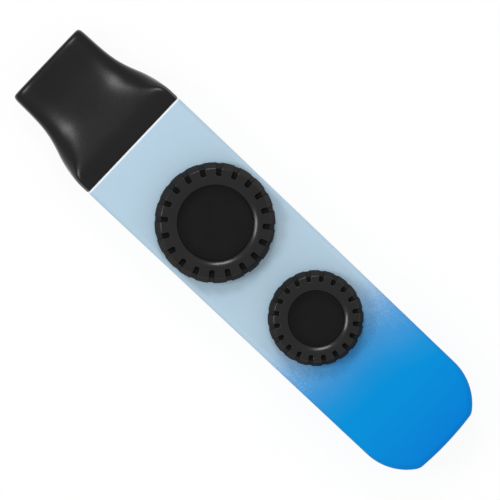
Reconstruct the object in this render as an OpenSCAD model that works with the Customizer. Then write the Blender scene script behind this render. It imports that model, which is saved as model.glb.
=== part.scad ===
// A flat-bodied kazoo with two membrane turrets, all sizes in millimetres.
// +X runs from the lips to the tail, +Z is up, and the origin is the middle of the underside.

/* [Body] */
// Overall length from the lips to the tail
part_length = 120; // [112:1:135]
// Width of the body where the mouthpiece meets it
body_w = 28.4; // [28:0.1:32]
// How much narrower the body is where the tail starts to round off
rear_taper = 0.8; // [0:0.1:1]
// Thickness of the body from underside to top
body_h = 12.5; // [11:0.1:16]
// Wall of the two shells
shell_wall = 1.5; // [1.2:0.1:1.8]
// Rounding of the long edges of the body
edge_r = 1.4; // [1:0.1:2]
// Rounding of the edges of the hollow inside the body
hollow_r = 0.5; // [0.3:0.1:1]
// Height of the tongue that locates the upper shell on the lower one
tongue_h = 1; // [0.6:0.1:1.5]
// Thickness of that tongue
tongue_t = 0.65; // [0.5:0.05:0.7]

/* [Tail] */
// Radius of the round sides of the tail
tail_side_r = 12.6; // [11:0.1:13]
// How far ahead of the tail's end the sides start to turn in
tail_reach = 11; // [9:0.1:12]
// Radius of the shallow bow across the tail's end
tail_bow_r = 70; // [40:1:90]
// Rounding of the two corners between the sides and the bow
tail_corner_r = 3; // [1:0.1:3.4]
// Width of the air outlet in the tail's end wall
vent_w = 10; // [8:0.5:12]
// Height of the air outlet
vent_h = 4.6; // [4.2:0.1:5.5]

/* [Locating pegs] */
// Radius of the bosses that the pegs stand on
boss_r = 1.6; // [1.4:0.1:1.8]
// Radius of the pegs
peg_r = 0.8; // [0.6:0.05:1]
// Height of the pegs above the seam
peg_h = 2; // [1.5:0.1:2.5]
// Gap between a boss and the side wall
boss_gap = 0.3; // [0.2:0.1:0.6]
// Room along the body between a boss and the tenon, and between the last peg's axis and the small cap
peg_room = 2.6; // [1.5:0.1:3]

/* [Mouthpiece] */
// Length of the mouthpiece outside the body
mouth_length = 25.95; // [24:0.05:30]
// Width across the lips end
lips_w = 20.8; // [19:0.1:24]
// Thickness of the lips end
lips_t = 7.2; // [7.1:0.1:8.5]
// Rounding of the lips end
lips_r = 0.9; // [0.5:0.05:1.2]
// Distance from the lips end to where the flare starts
flare_start = 6; // [4:0.5:8]
// Distance from the lips end to where the flare stops
flare_end = 23.5; // [22:0.5:24]
// How far the mouthpiece stands proud of each side of the body
flare_proud = 0.05; // [0:0.01:0.1]
// Wall of the mouthpiece at the lips and round the tenon
mouth_wall = 1.3; // [1:0.05:1.4]
// Length of the tenon that plugs into the body
tenon_length = 6; // [4:0.5:7]
// Rounding of the tenon's edges
tenon_edge_r = 0.8; // [0.7:0.05:1.5]

/* [Large turret] */
// Distance from the mouthpiece's joint to the large turret's axis
large_from_joint = 24.4; // [23:0.1:26.5]
// Strip of the body's top on each side of the large cap's foot
large_side_room = 1.1; // [0.9:0.05:1.5]
// Width of the large cap from its foot in to its hole
large_ring_w = 4.82; // [4.55:0.01:5]
// How far the large cap draws in from its foot to its top rim
large_cap_taper = 0.96; // [0.6:0.02:1.2]
// How far the large cap's notches run in from its rim
large_notch_reach = 1.9; // [1:0.05:2]
// Width of the large cap's notches
large_notch_w = 1.2; // [0.8:0.05:1.5]
// Turn of the large cap's notches, in degrees
large_notch_turn = 3.5; // [0:0.5:17.5]

/* [Small turret] */
// Distance between the axes of the two turrets
turret_spacing = 30.1; // [29:0.1:32]
// Radius at the foot of the small cap
small_foot_r = 10.4; // [10.2:0.02:10.7]
// Width of the small cap from its foot in to its hole
small_ring_w = 4.3; // [4.06:0.01:4.4]
// How far the small cap draws in from its foot to its top rim
small_cap_taper = 0.9; // [0.6:0.02:1.1]
// How far the small cap's notches run in from its rim
small_notch_reach = 1.5; // [0.8:0.05:1.6]
// Width of the small cap's notches
small_notch_w = 1; // [0.7:0.05:1.2]
// Turn of the small cap's notches, in degrees
small_notch_turn = 0; // [0:0.5:17.5]

/* [Caps] */
// Height of both caps
cap_h = 5.3; // [5.2:0.1:6.5]
// Height of the upright part of a cap's side
cap_side_h = 2.2; // [1.8:0.1:2.6]
// Gap between a cap's foot and the body
cap_gap = 0.2; // [0.1:0.05:0.5]
// Wall of a cap at its foot
cap_wall = 1.95; // [1.9:0.01:2]
// Thickness of a cap's top ring
lid_t = 1.3; // [1.1:0.05:1.5]
// Rounding of the edge of a cap's hole
lip_round = 0.28; // [0.2:0.02:0.4]
// Radius of the shallow bow that the lip has above that rounding
lip_bow_r = 2.3; // [1.8:0.1:2.6]
// Slope at which the bow starts at the rounding, in degrees
lip_steep_a = 27; // [22:1:30]
// Slope at which it runs on to a cap's top, in degrees
lip_shallow_a = 8; // [6:0.5:10]
// Width of the lip from the hole to a cap's flat top
lip_w = 1.3; // [1.1:0.05:1.4]
// Rounding of a cap's top rim
rim_round = 0.35; // [0.2:0.05:0.5]
// Chamfer at a cap's foot
foot_chamfer = 0.2; // [0.1:0.05:0.4]
// Number of finger notches round each cap
notch_count = 20; // [12:1:24]
// Depth of the finger notches below a cap's top
notch_depth = 0.8; // [0.5:0.02:0.84]
// How far inside the rim the flat floor of a notch ends
notch_floor_in = 0.3; // [0.2:0.05:0.5]
// Depth of the finger notches where a cap's side starts to draw in
notch_side_depth = 0.37; // [0.2:0.01:0.5]
// Depth of the finger notches at a cap's foot
notch_foot_depth = 0.1; // [0.05:0.05:0.3]

/* [Screw threads] */
// Rise of a cap for one whole turn
thread_pitch = 1.5; // [1.4:0.1:1.8]
// Height of a thread ridge over the wall that carries it
thread_h = 0.6; // [0.5:0.02:0.62]
// Width of a thread ridge at its crest
crest_w = 0.4; // [0.3:0.05:0.45]
// Width of a thread ridge at its buried root
root_w = 0.9; // [0.8:0.05:1]
// Depth of a ridge's root inside the wall that carries it
root_sink = 0.3; // [0.2:0.05:0.35]
// Height of the first neck ridge's middle over the body
neck_thread_start = 0.75; // [0.6:0.05:0.9]
// Height of the first cap ridge's middle over the cap's foot
cap_thread_start = 0.5; // [0.45:0.05:0.6]
// Whole turns of the ridge on a neck
neck_turns = 1.25; // [1:0.05:1.3]
// Whole turns of the ridge in a cap
cap_turns = 1; // [0.75:0.05:1.1]

/* [Membrane stack] */
// Wall of a neck beside the membrane
neck_wall = 0.65; // [0.6:0.01:0.7]
// How far a neck's air hole is smaller in radius than the cap's hole
throat_step = 0.26; // [0.2:0.02:0.6]
// Thickness of the flange that holds a neck under the upper shell
flange_t = 1; // [0.8:0.1:1.2]
// Width of that flange round the neck
flange_w = 1.2; // [1:0.1:1.4]
// Depth of the membrane's seat below a neck's top
seat_depth = 1.9; // [1.8:0.05:2.1]
// Thickness of the soft gasket
gasket_t = 0.5; // [0.4:0.05:0.6]
// Thickness of the membrane
film_t = 0.1; // [0.05:0.01:0.15]
// Thickness of the membrane's carrier ring
carrier_t = 0.8; // [0.7:0.05:1]
// Thickness of the press ring's flange
press_t = 0.6; // [0.5:0.05:0.7]
// Gap between the press ring's flange and a neck's top
press_gap = 0.15; // [0.1:0.05:0.2]

/* [Clearances] */
// Gap all round a push fit or a part laid in a recess
fit_play = 0.06; // [0.04:0.01:0.1]
// Gap between faces that turn or slide past each other
slide_play = 0.05; // [0.03:0.01:0.1]
// Gap between the tongue and the groove of the shells
seam_play = 0.1; // [0.05:0.01:0.15]
// Gap between the crest of a ridge and the wall opposite
crest_play = 0.2; // [0.15:0.01:0.25]
// Gap between the flanks of the two ridges when a cap is tight
flank_play = 0.1; // [0.06:0.01:0.15]
// Gap between the mouthpiece and the body's front face
joint_play = 0.1; // [0.05:0.01:0.2]

/* [Hidden] */

// Every cut runs this far past the face that it opens
overrun = 0.5;
// Shapes that are one moulding run this far into each other
merge = 0.3;
$fn = 64;

// Fineness of the smooth shells and of the thread ridges
edge_steps = 5;
arc_step = 6;
bow_fn = 120;
corner_fn = 24;
ring_points = 36;
lips_end_step_a = 18;
flare_steps = 18;
ridge_steps_per_turn = 36;
ridge_lead_steps = 4;
round_steps = 4;

// The shape of the mouthpiece's sections: 2 is an ellipse, and a high number is nearly a rectangle
lips_squareness = 3.4;
joint_squareness = 12;
bore_squareness = 4.5;

// Places along the length
mouth_x = -part_length / 2;
tail_x = part_length / 2;
joint_x = mouth_x + mouth_length;
large_x = joint_x + large_from_joint;
small_x = large_x + turret_spacing;
rear_w = body_w - rear_taper;
large_foot_r = body_w / 2 - large_side_room;
large_rim_r = large_foot_r - large_cap_taper;
large_hole_r = large_foot_r - large_ring_w;
small_rim_r = small_foot_r - small_cap_taper;
small_hole_r = small_foot_r - small_ring_w;
side_arc_x = tail_x - tail_reach;
side_arc_y = rear_w / 2 - tail_side_r;

// Places in height
seam_z = body_h / 2;
ceiling_z = body_h - shell_wall;
cap_z = body_h + cap_gap;
cap_top_z = cap_z + cap_h;
lid_z = cap_top_z - lid_t;
press_z = lid_z - slide_play - press_t;
neck_top_z = press_z - press_gap;
seat_z = neck_top_z - seat_depth;
film_z = seat_z + gasket_t;
carrier_z = film_z + film_t;
carrier_top_z = carrier_z + carrier_t;

// The plan of the body starts this far ahead of the joint, where the front cut trims it
front_spare = 2 * (shell_wall + hollow_r + tail_corner_r);

// Distance between the middles of a neck's ridge and of the cap's ridge below it, when a cap is tight
ridge_taper = (root_w - crest_w) / (thread_h + root_sink);
shared_depth = thread_h - crest_play;
flank_distance = crest_w + ridge_taper * shared_depth / 2 + flank_play;

// Six pegs in three pairs: behind the tenon, between the turrets, and behind the small turret
tenon_w = body_w - 2 * (shell_wall + fit_play);
tenon_h = body_h - 2 * (shell_wall + fit_play);
peg_y = rear_w / 2 - shell_wall - boss_gap - boss_r;
peg_xs = [
    joint_x + tenon_length + peg_room + boss_r,
    (large_x + large_foot_r + small_x - small_foot_r) / 2,
    small_x + small_foot_r + peg_room
];

// Radii of a turret, all worked out from the radius at the foot of its cap and from its hole
function cap_bore_r(foot_r) = foot_r - cap_wall;
function neck_r(foot_r) = cap_bore_r(foot_r) - crest_play - thread_h;
function seat_r(foot_r) = neck_r(foot_r) - neck_wall;
function flange_r(foot_r) = neck_r(foot_r) + flange_w;
function throat_r(hole_r) = hole_r - throat_step;
function ring_hole_r(hole_r) = hole_r + slide_play;

// Points on a quarter round from one angle to another, about a centre
function round_points(x, y, r, from, to) = [
    for (i = [0 : round_steps])
        let (a = from + (to - from) * i / round_steps) [x + r * cos(a), y + r * sin(a)]
];

// A closed skin over rings of points, all of one count, that run clockwise as seen along the loft
module loft(rings) {
    n = len(rings[0]);
    last = len(rings) - 1;
    polyhedron(
        points = [for (ring = rings) each ring],
        faces = concat(
            [[for (k = [n - 1 : -1 : 0]) k]],
            [for (i = [0 : last - 1], k = [0 : n - 1]) let (m = (k + 1) % n) each [
                [i * n + k, i * n + m, (i + 1) * n + m],
                [i * n + k, (i + 1) * n + m, (i + 1) * n + k]
            ]],
            [[for (k = [0 : n - 1]) last * n + k]]
        ),
        convexity = 10
    );
}

// Points on a round side of the tail
function side_arc(y, from, to) = [
    for (a = [from : arc_step : to]) [side_arc_x + tail_side_r * cos(a), y + tail_side_r * sin(a)]
];

// The body seen from above: it reaches past the joint, and narrows from the tenon's end to the tail
module body_plan() {
    steady_x = joint_x + tenon_length;
    difference() {
        polygon(concat(
            [[joint_x - front_spare, -body_w / 2], [steady_x, -body_w / 2]],
            side_arc(-side_arc_y, -90, 0),
            side_arc(side_arc_y, 0, 90),
            [[steady_x, body_w / 2], [joint_x - front_spare, body_w / 2]]
        ));
        translate([tail_x - tail_bow_r, 0]) difference() {
            translate([0, -body_w]) square([2 * tail_bow_r, 2 * body_w]);
            circle(tail_bow_r, $fn = bow_fn);
        }
    }
}

// The body's block with rounded edges, drawn in all round by an inset
module body_block(inset, round_r) {
    hull() for (i = [0 : edge_steps]) {
        a = 90 * i / edge_steps;
        low = inset + round_r * (1 - sin(a));
        translate([0, 0, low]) linear_extrude(body_h - 2 * low)
            offset(r = tail_corner_r, $fn = corner_fn)
                offset(delta = -(tail_corner_r + inset + round_r * (1 - cos(a)))) body_plan();
    }
}

// Everything of the body's plan between two heights
module slice(low_z, high_z) {
    translate([joint_x, -body_w, low_z]) cube([part_length, 2 * body_w, high_z - low_z]);
}

// The hollow inside both shells
module body_hollow() {
    body_block(shell_wall, hollow_r);
}

// The outlet through the end wall, a slot with round ends
module vent_cut() {
    reach = tail_reach + overrun;
    round_r = vent_h / 2;
    translate([side_arc_x, 0, seam_z]) rotate([0, 90, 0]) {
        for (side = [-1, 1]) translate([0, side * (vent_w / 2 - round_r), 0])
            cylinder(h = reach, r = round_r);
        translate([-round_r, round_r - vent_w / 2, 0]) cube([vent_h, vent_w - vent_h, reach]);
    }
}

module at_pegs() {
    for (x = peg_xs, side = [-1, 1]) translate([x, side * peg_y, 0]) children();
}

module upper_shell() {
    color("#b6cddf") difference() {
        union() {
            difference() {
                intersection() {
                    body_block(0, edge_r);
                    slice(seam_z, body_h + overrun);
                }
                body_hollow();
                intersection() {
                    body_block(shell_wall - tongue_t - seam_play, hollow_r);
                    slice(seam_z - overrun, seam_z + tongue_h + seam_play);
                }
            }
            at_pegs() translate([0, 0, seam_z]) cylinder(h = ceiling_z - seam_z + merge, r = boss_r);
        }
        at_pegs() translate([0, 0, seam_z - overrun])
            cylinder(h = overrun + peg_h + fit_play, r = peg_r + fit_play);
        turret_hole(large_x, large_foot_r);
        turret_hole(small_x, small_foot_r);
        vent_cut();
    }
}

module turret_hole(x, foot_r) {
    translate([x, 0, ceiling_z - overrun])
        cylinder(h = shell_wall + 2 * overrun, r = neck_r(foot_r) + fit_play);
}

module lower_shell() {
    color("#a9c4da") union() {
        difference() {
            union() {
                intersection() {
                    body_block(0, edge_r);
                    slice(-overrun, seam_z);
                }
                intersection() {
                    body_block(shell_wall - tongue_t, hollow_r);
                    slice(seam_z - overrun, seam_z + tongue_h);
                }
            }
            body_hollow();
            vent_cut();
        }
        at_pegs() translate([0, 0, shell_wall - merge])
            cylinder(h = seam_z - shell_wall + merge, r = boss_r);
        at_pegs() translate([0, 0, seam_z - merge]) cylinder(h = merge + peg_h, r = peg_r);
    }
}

// Eased share of the flare that is reached at a distance from the lips end
function flare_share(s) =
    let (t = max(0, min(1, (s - flare_start) / (flare_end - flare_start)))) t * t * (3 - 2 * t);

// Drawing in of the section where the lips end rounds over
function lips_inset(s) = s >= lips_r ? 0 : lips_r - sqrt(lips_r * lips_r - (lips_r - s) * (lips_r - s));

function between(low, high, share) = low + (high - low) * share;
function signed_power(v, p) = sign(v) * pow(abs(v), p);

// One section of the mouthpiece: a rounded oval of a half width, a half height and a squareness
function section(s, half_w, half_h, squareness) =
    [for (k = [0 : ring_points - 1]) let (a = -360 * k / ring_points) [
        mouth_x + s,
        half_w * signed_power(cos(a), 2 / squareness),
        seam_z + half_h * signed_power(sin(a), 2 / squareness)
    ]];

function outer_section(s) =
    let (share = flare_share(s), inset = lips_inset(s))
    section(s,
        between(lips_w / 2, body_w / 2 + flare_proud, share) - inset,
        between(lips_t, body_h, share) / 2 - inset,
        between(lips_squareness, joint_squareness, pow(share, 2)));

function airway_section(s) =
    let (share = flare_share(s))
    section(s,
        between(lips_w, tenon_w, share) / 2 - mouth_wall,
        between(lips_t, tenon_h, share) / 2 - mouth_wall,
        between(lips_squareness, bore_squareness, share));

module mouthpiece() {
    rear_s = mouth_length - joint_play;
    end_s = mouth_length + tenon_length + overrun;
    color("#232323") difference() {
        union() {
            loft(concat(
                [for (a = [0 : lips_end_step_a : 90 - lips_end_step_a]) outer_section(lips_r * (1 - cos(a)))],
                [for (i = [0 : flare_steps]) outer_section(between(lips_r, rear_s, i / flare_steps))]
            ));
            translate([mouth_x + rear_s - mouth_wall, 0, seam_z]) rotate([90, 0, 90])
                linear_extrude(mouth_wall + joint_play + tenon_length)
                    offset(r = tenon_edge_r, $fn = 2 * corner_fn) offset(delta = -tenon_edge_r)
                        square([tenon_w, tenon_h], center = true);
        }
        loft(concat(
            [airway_section(-overrun)],
            [for (i = [0 : flare_steps]) airway_section(between(flare_start, flare_end, i / flare_steps))],
            [airway_section(end_s)]
        ));
    }
}

// A screw ridge from a root radius to a crest radius, which sinks into its wall at both ends
module ridge(root_r, crest_r, sunk_r, start_z, start_angle, turns) {
    steps = round(turns * ridge_steps_per_turn);
    inward = crest_r < root_r;
    loft([for (i = [0 : steps])
        let (
            a = start_angle + 360 * turns * i / steps,
            z = start_z + thread_pitch * turns * i / steps,
            lead = min(1, i / ridge_lead_steps, (steps - i) / ridge_lead_steps),
            r = between(sunk_r, crest_r, lead),
            low = [[root_r, z - root_w / 2], [r, z - crest_w / 2]],
            high = [[r, z + crest_w / 2], [root_r, z + root_w / 2]],
            outline = concat(low, high),
            points = inward ? [for (k = [3 : -1 : 0]) outline[k]] : outline
        )
        [for (p = points) [p[0] * cos(a), p[0] * sin(a), p[1]]]
    ]);
}

// A flanged tube with a recess in its top for the membrane, and a screw ridge outside
module neck(x, foot_r, hole_r) {
    wall_r = neck_r(foot_r);
    color("#262626") translate([x, 0, 0]) union() {
        rotate_extrude() polygon([
            [throat_r(hole_r), ceiling_z - flange_t],
            [flange_r(foot_r), ceiling_z - flange_t],
            [flange_r(foot_r), ceiling_z],
            [wall_r, ceiling_z],
            [wall_r, neck_top_z],
            [seat_r(foot_r), neck_top_z],
            [seat_r(foot_r), seat_z],
            [throat_r(hole_r), seat_z]
        ]);
        ridge(wall_r - root_sink, wall_r + thread_h, wall_r - root_sink / 2,
            body_h + neck_thread_start, 0, neck_turns);
    }
}

// A flat washer
module washer(x, low_z, thickness, inner_r, outer_r) {
    translate([x, 0, low_z]) difference() {
        cylinder(h = thickness, r = outer_r);
        translate([0, 0, -overrun]) cylinder(h = thickness + 2 * overrun, r = inner_r);
    }
}

module gasket(x, foot_r, hole_r) {
    color("#8c8c8c") washer(x, seat_z, gasket_t, throat_r(hole_r), seat_r(foot_r) - fit_play);
}

module membrane(x, foot_r) {
    color("#1c1c1e") translate([x, 0, film_z]) cylinder(h = film_t, r = seat_r(foot_r) - 2 * fit_play);
}

module carrier(x, foot_r, hole_r) {
    color("#303030") washer(x, carrier_z, carrier_t, ring_hole_r(hole_r), seat_r(foot_r) - fit_play);
}

// The ring that presses on the membrane's carrier, and is held in the cap by the cap's ridge
module press_ring(x, foot_r, hole_r) {
    color("#2b2b2b") union() {
        washer(x, press_z, press_t, ring_hole_r(hole_r), cap_bore_r(foot_r) - 2 * fit_play);
        washer(x, carrier_top_z + slide_play, press_z - carrier_top_z,
            ring_hole_r(hole_r), seat_r(foot_r) - 2 * fit_play);
    }
}

// The grooves for the fingers: they cross the rim, and get shallower down the cap's side
module notches(foot_r, rim_r, reach, width, turn) {
    length = foot_r - rim_r + reach + overrun;
    difference() {
        for (i = [0 : notch_count - 1]) rotate([0, 0, turn + 360 * i / notch_count])
            translate([rim_r - reach + width / 2, 0, cap_z - overrun]) {
                cylinder(h = cap_h + 2 * overrun, r = width / 2);
                translate([0, -width / 2, 0]) cube([length, width, cap_h + 2 * overrun]);
            }
        rotate_extrude() polygon([
            [0, cap_z - 2 * overrun],
            [foot_r - notch_foot_depth, cap_z - 2 * overrun],
            [foot_r - notch_foot_depth, cap_z],
            [foot_r - notch_side_depth, cap_z + cap_side_h],
            [rim_r - notch_floor_in, cap_top_z - notch_depth],
            [0, cap_top_z - notch_depth]
        ]);
    }
}

// The lip round a cap's hole: a shallow bow that a small rounding ends at the hole
function lip_points(hole_r) =
    let (
        round_x = hole_r + lip_round,
        bow_x = round_x - (lip_bow_r - lip_round) * cos(90 + lip_steep_a),
        end_x = bow_x + lip_bow_r * cos(90 + lip_shallow_a),
        slope_h = (hole_r + lip_w - end_x) * tan(lip_shallow_a),
        bow_z = cap_top_z - slope_h - lip_bow_r * sin(90 + lip_shallow_a),
        round_z = bow_z + (lip_bow_r - lip_round) * sin(90 + lip_steep_a)
    ) concat(
        [[hole_r + lip_w, cap_top_z]],
        round_points(bow_x, bow_z, lip_bow_r, 90 + lip_shallow_a, 90 + lip_steep_a),
        round_points(round_x, round_z, lip_round, 90 + lip_steep_a, 180)
    );

// A screw cap with an open top, so that the membrane shows in its well
module cap(x, foot_r, rim_r, hole_r, notch_reach, notch_w, notch_turn) {
    bore_r = cap_bore_r(foot_r);
    first_z = cap_z + cap_thread_start;
    neck_first_z = body_h + neck_thread_start - flank_distance;
    color("#262626") translate([x, 0, 0]) union() {
        difference() {
            rotate_extrude() polygon(concat(
                [[bore_r, cap_z], [foot_r - foot_chamfer, cap_z], [foot_r, cap_z + foot_chamfer]],
                [[foot_r, cap_z + cap_side_h]],
                round_points(rim_r - rim_round, cap_top_z - rim_round, rim_round, 0, 90),
                lip_points(hole_r),
                [[hole_r, lid_z], [bore_r, lid_z]]
            ));
            notches(foot_r, rim_r, notch_reach, notch_w, notch_turn);
        }
        ridge(bore_r + root_sink, bore_r - thread_h, bore_r + root_sink / 2,
            first_z, 360 * (first_z - neck_first_z) / thread_pitch, cap_turns);
    }
}

module large_neck() neck(large_x, large_foot_r, large_hole_r);
module large_gasket() gasket(large_x, large_foot_r, large_hole_r);
module large_membrane() membrane(large_x, large_foot_r);
module large_carrier() carrier(large_x, large_foot_r, large_hole_r);
module large_press_ring() press_ring(large_x, large_foot_r, large_hole_r);
module large_cap() cap(large_x, large_foot_r, large_rim_r, large_hole_r,
    large_notch_reach, large_notch_w, large_notch_turn);

module small_neck() neck(small_x, small_foot_r, small_hole_r);
module small_gasket() gasket(small_x, small_foot_r, small_hole_r);
module small_membrane() membrane(small_x, small_foot_r);
module small_carrier() carrier(small_x, small_foot_r, small_hole_r);
module small_press_ring() press_ring(small_x, small_foot_r, small_hole_r);
module small_cap() cap(small_x, small_foot_r, small_rim_r, small_hole_r,
    small_notch_reach, small_notch_w, small_notch_turn);

mouthpiece();
upper_shell();
lower_shell();
large_neck();
large_gasket();
large_carrier();
large_membrane();
large_press_ring();
large_cap();
small_neck();
small_gasket();
small_carrier();
small_membrane();
small_press_ring();
small_cap();
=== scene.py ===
import math

import bmesh
import bpy
from mathutils import Matrix, Vector


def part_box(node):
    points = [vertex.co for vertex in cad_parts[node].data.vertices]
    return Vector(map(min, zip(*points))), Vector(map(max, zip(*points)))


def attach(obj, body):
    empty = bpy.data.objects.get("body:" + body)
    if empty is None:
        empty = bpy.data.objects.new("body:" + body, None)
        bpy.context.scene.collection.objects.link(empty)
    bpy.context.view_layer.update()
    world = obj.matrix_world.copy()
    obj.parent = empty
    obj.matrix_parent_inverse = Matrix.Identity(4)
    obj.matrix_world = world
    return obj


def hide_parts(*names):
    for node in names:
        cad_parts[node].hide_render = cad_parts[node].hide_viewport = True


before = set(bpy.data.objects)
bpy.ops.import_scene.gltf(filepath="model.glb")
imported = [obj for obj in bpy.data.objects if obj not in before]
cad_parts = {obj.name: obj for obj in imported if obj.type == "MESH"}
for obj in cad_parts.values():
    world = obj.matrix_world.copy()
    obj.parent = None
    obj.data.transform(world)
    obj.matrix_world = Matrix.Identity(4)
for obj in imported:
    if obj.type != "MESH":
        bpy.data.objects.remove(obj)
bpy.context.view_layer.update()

# Lengths are in millimetres until they reach Blender, apart from four of the studio's.
mm = 0.001
fullTurn = 2 * math.pi
halfTurn, quarterTurn = fullTurn / 2, fullTurn / 4
mergeWithin = 0.002  # points closer than this become one
touchWithin = 0.001  # how far off a point may be that lies in a plane
sameWithin = 0.01  # lengths, or angles in radians, that differ by less count as the same


def span(node, axis):  # where a node of the frame starts and ends, in millimetres
    low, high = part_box(node)
    return round(low[axis] / mm, 3), round(high[axis] / mm, 3)


lipsX = span("mouthpiece", 0)[0]
jointX = span("upper_shell", 0)[0]  # where the mouthpiece meets the body
tailX = span("upper_shell", 0)[1]
seamZ, bodyTopZ = span("upper_shell", 2)
capFootZ, capTopZ = span("large_cap", 2)
largeX = sum(span("large_cap", 0)) / 2
smallX = sum(span("small_cap", 0)) / 2
largeFootR = span("large_cap", 0)[1] - largeX
smallFootR = span("small_cap", 0)[1] - smallX
print("stage: the frame puts the turrets at", largeX, smallX, "and the joint at", jointX)


# Working in edit mode

def startPiece(name):
    bpy.ops.object.select_all(action="DESELECT")
    bpy.ops.mesh.primitive_plane_add(size=mm)
    piece = bpy.context.active_object
    piece.name = piece.data.name = name
    bpy.ops.object.mode_set(mode="EDIT")
    bpy.ops.mesh.delete(type="VERT")
    return piece


def pick(kind, wanted):
    bpy.ops.mesh.select_mode(type=kind)
    bpy.ops.mesh.select_all(action="DESELECT")
    mesh = bmesh.from_edit_mesh(bpy.context.edit_object.data)
    for item in {"VERT": mesh.verts, "EDGE": mesh.edges}[kind]:
        if wanted(item):
            item.select_set(True)
    mesh.select_flush_mode()
    bmesh.update_edit_mesh(bpy.context.edit_object.data)


def middle(item):
    return sum((corner.co for corner in item.verts), Vector()) / len(item.verts) / mm


def putPoint(x, y, z):
    bpy.ops.mesh.select_mode(type="VERT")
    bpy.ops.mesh.select_all(action="DESELECT")
    bpy.ops.mesh.primitive_plane_add(size=mm, location=(x * mm, y * mm, z * mm))
    bpy.ops.mesh.merge(type="CENTER")


def drawBy(x, y, z):
    bpy.ops.mesh.extrude_region_move(TRANSFORM_OT_translate={"value": (x * mm, y * mm, z * mm)})


def swing(x, y, degrees, steps):  # clockwise, as seen from above
    bpy.ops.mesh.spin(steps=steps, angle=math.radians(degrees), center=(x * mm, y * mm, 0),
                      axis=(0, 0, 1))


def turnBy(angle):  # all of a piece, round the Z axis
    bpy.ops.mesh.select_all(action="SELECT")
    bpy.ops.transform.rotate(value=angle, orient_axis="Z", center_override=(0, 0, 0))


def roundPicked(width):
    bpy.ops.mesh.bevel(offset=width * mm, segments=3, affect="EDGES", clamp_overlap=False)


def cleanUp():
    bpy.ops.mesh.select_mode(type="VERT")
    bpy.ops.mesh.select_all(action="SELECT")
    bpy.ops.mesh.remove_doubles(threshold=mergeWithin * mm)
    bpy.ops.mesh.normals_make_consistent(inside=False)


def finishEditing():
    bpy.ops.object.mode_set(mode="OBJECT")


def only(piece):
    bpy.ops.object.select_all(action="DESELECT")
    piece.select_set(True)
    bpy.context.view_layer.objects.active = piece


def settle(name):  # names what was just added, and takes its place and turn into its points
    piece = bpy.context.active_object
    piece.name = piece.data.name = name
    bpy.ops.object.transform_apply(location=True, rotation=True, scale=True)
    return piece


def applyModifier(piece, kind, **settings):
    only(piece)
    modifier = piece.modifiers.new(kind.title(), kind)
    for key, value in settings.items():
        setattr(modifier, key, value)
    bpy.ops.object.modifier_apply(modifier=modifier.name)


def carve(piece, tool, way="DIFFERENCE"):
    applyModifier(piece, "BOOLEAN", object=tool, operation=way, solver="EXACT")
    bpy.data.meshes.remove(tool.data)


def softenEdges(piece, width, segments=2, angle=40):
    applyModifier(piece, "BEVEL", width=width * mm, segments=segments, limit_method="ANGLE",
                  angle_limit=math.radians(angle), use_clamp_overlap=True)


def shade(piece, angle=35):
    only(piece)
    bpy.ops.object.shade_smooth_by_angle(angle=math.radians(angle))
    applyModifier(piece, "WEIGHTED_NORMAL", keep_sharp=True)


def putInPlace(piece, x):  # from the lathe's axis to its turret
    only(piece)
    piece.location = (x * mm, 0, 0)
    bpy.ops.object.transform_apply(location=True, rotation=True, scale=True)
    shade(piece)
    return piece


def drawLoop(points):  # a closed outline in the XZ plane
    (x, z), *rest = points
    putPoint(x, 0, z)
    for nextX, nextZ in rest:
        drawBy(nextX - x, 0, nextZ - z)
        x, z = nextX, nextZ
    mesh = bmesh.from_edit_mesh(bpy.context.edit_object.data)
    ends = [point for point in mesh.verts if len(point.link_edges) == 1]
    for point in ends:
        point.select_set(True)
    bmesh.update_edit_mesh(bpy.context.edit_object.data)
    bpy.ops.mesh.edge_face_add()


def arc(x, z, radius, fromAngle, toAngle, steps):
    angles = [math.radians(fromAngle + (toAngle - fromAngle) * i / steps) for i in range(steps + 1)]
    return [(x + radius * math.cos(a), z + radius * math.sin(a)) for a in angles]


def turnRing(name, points, steps):  # turned round the Z axis, as on a lathe
    piece = startPiece(name)
    drawLoop(points)
    bpy.ops.mesh.select_all(action="SELECT")
    swing(0, 0, 360, steps)
    cleanUp()
    finishEditing()
    return piece


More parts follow.
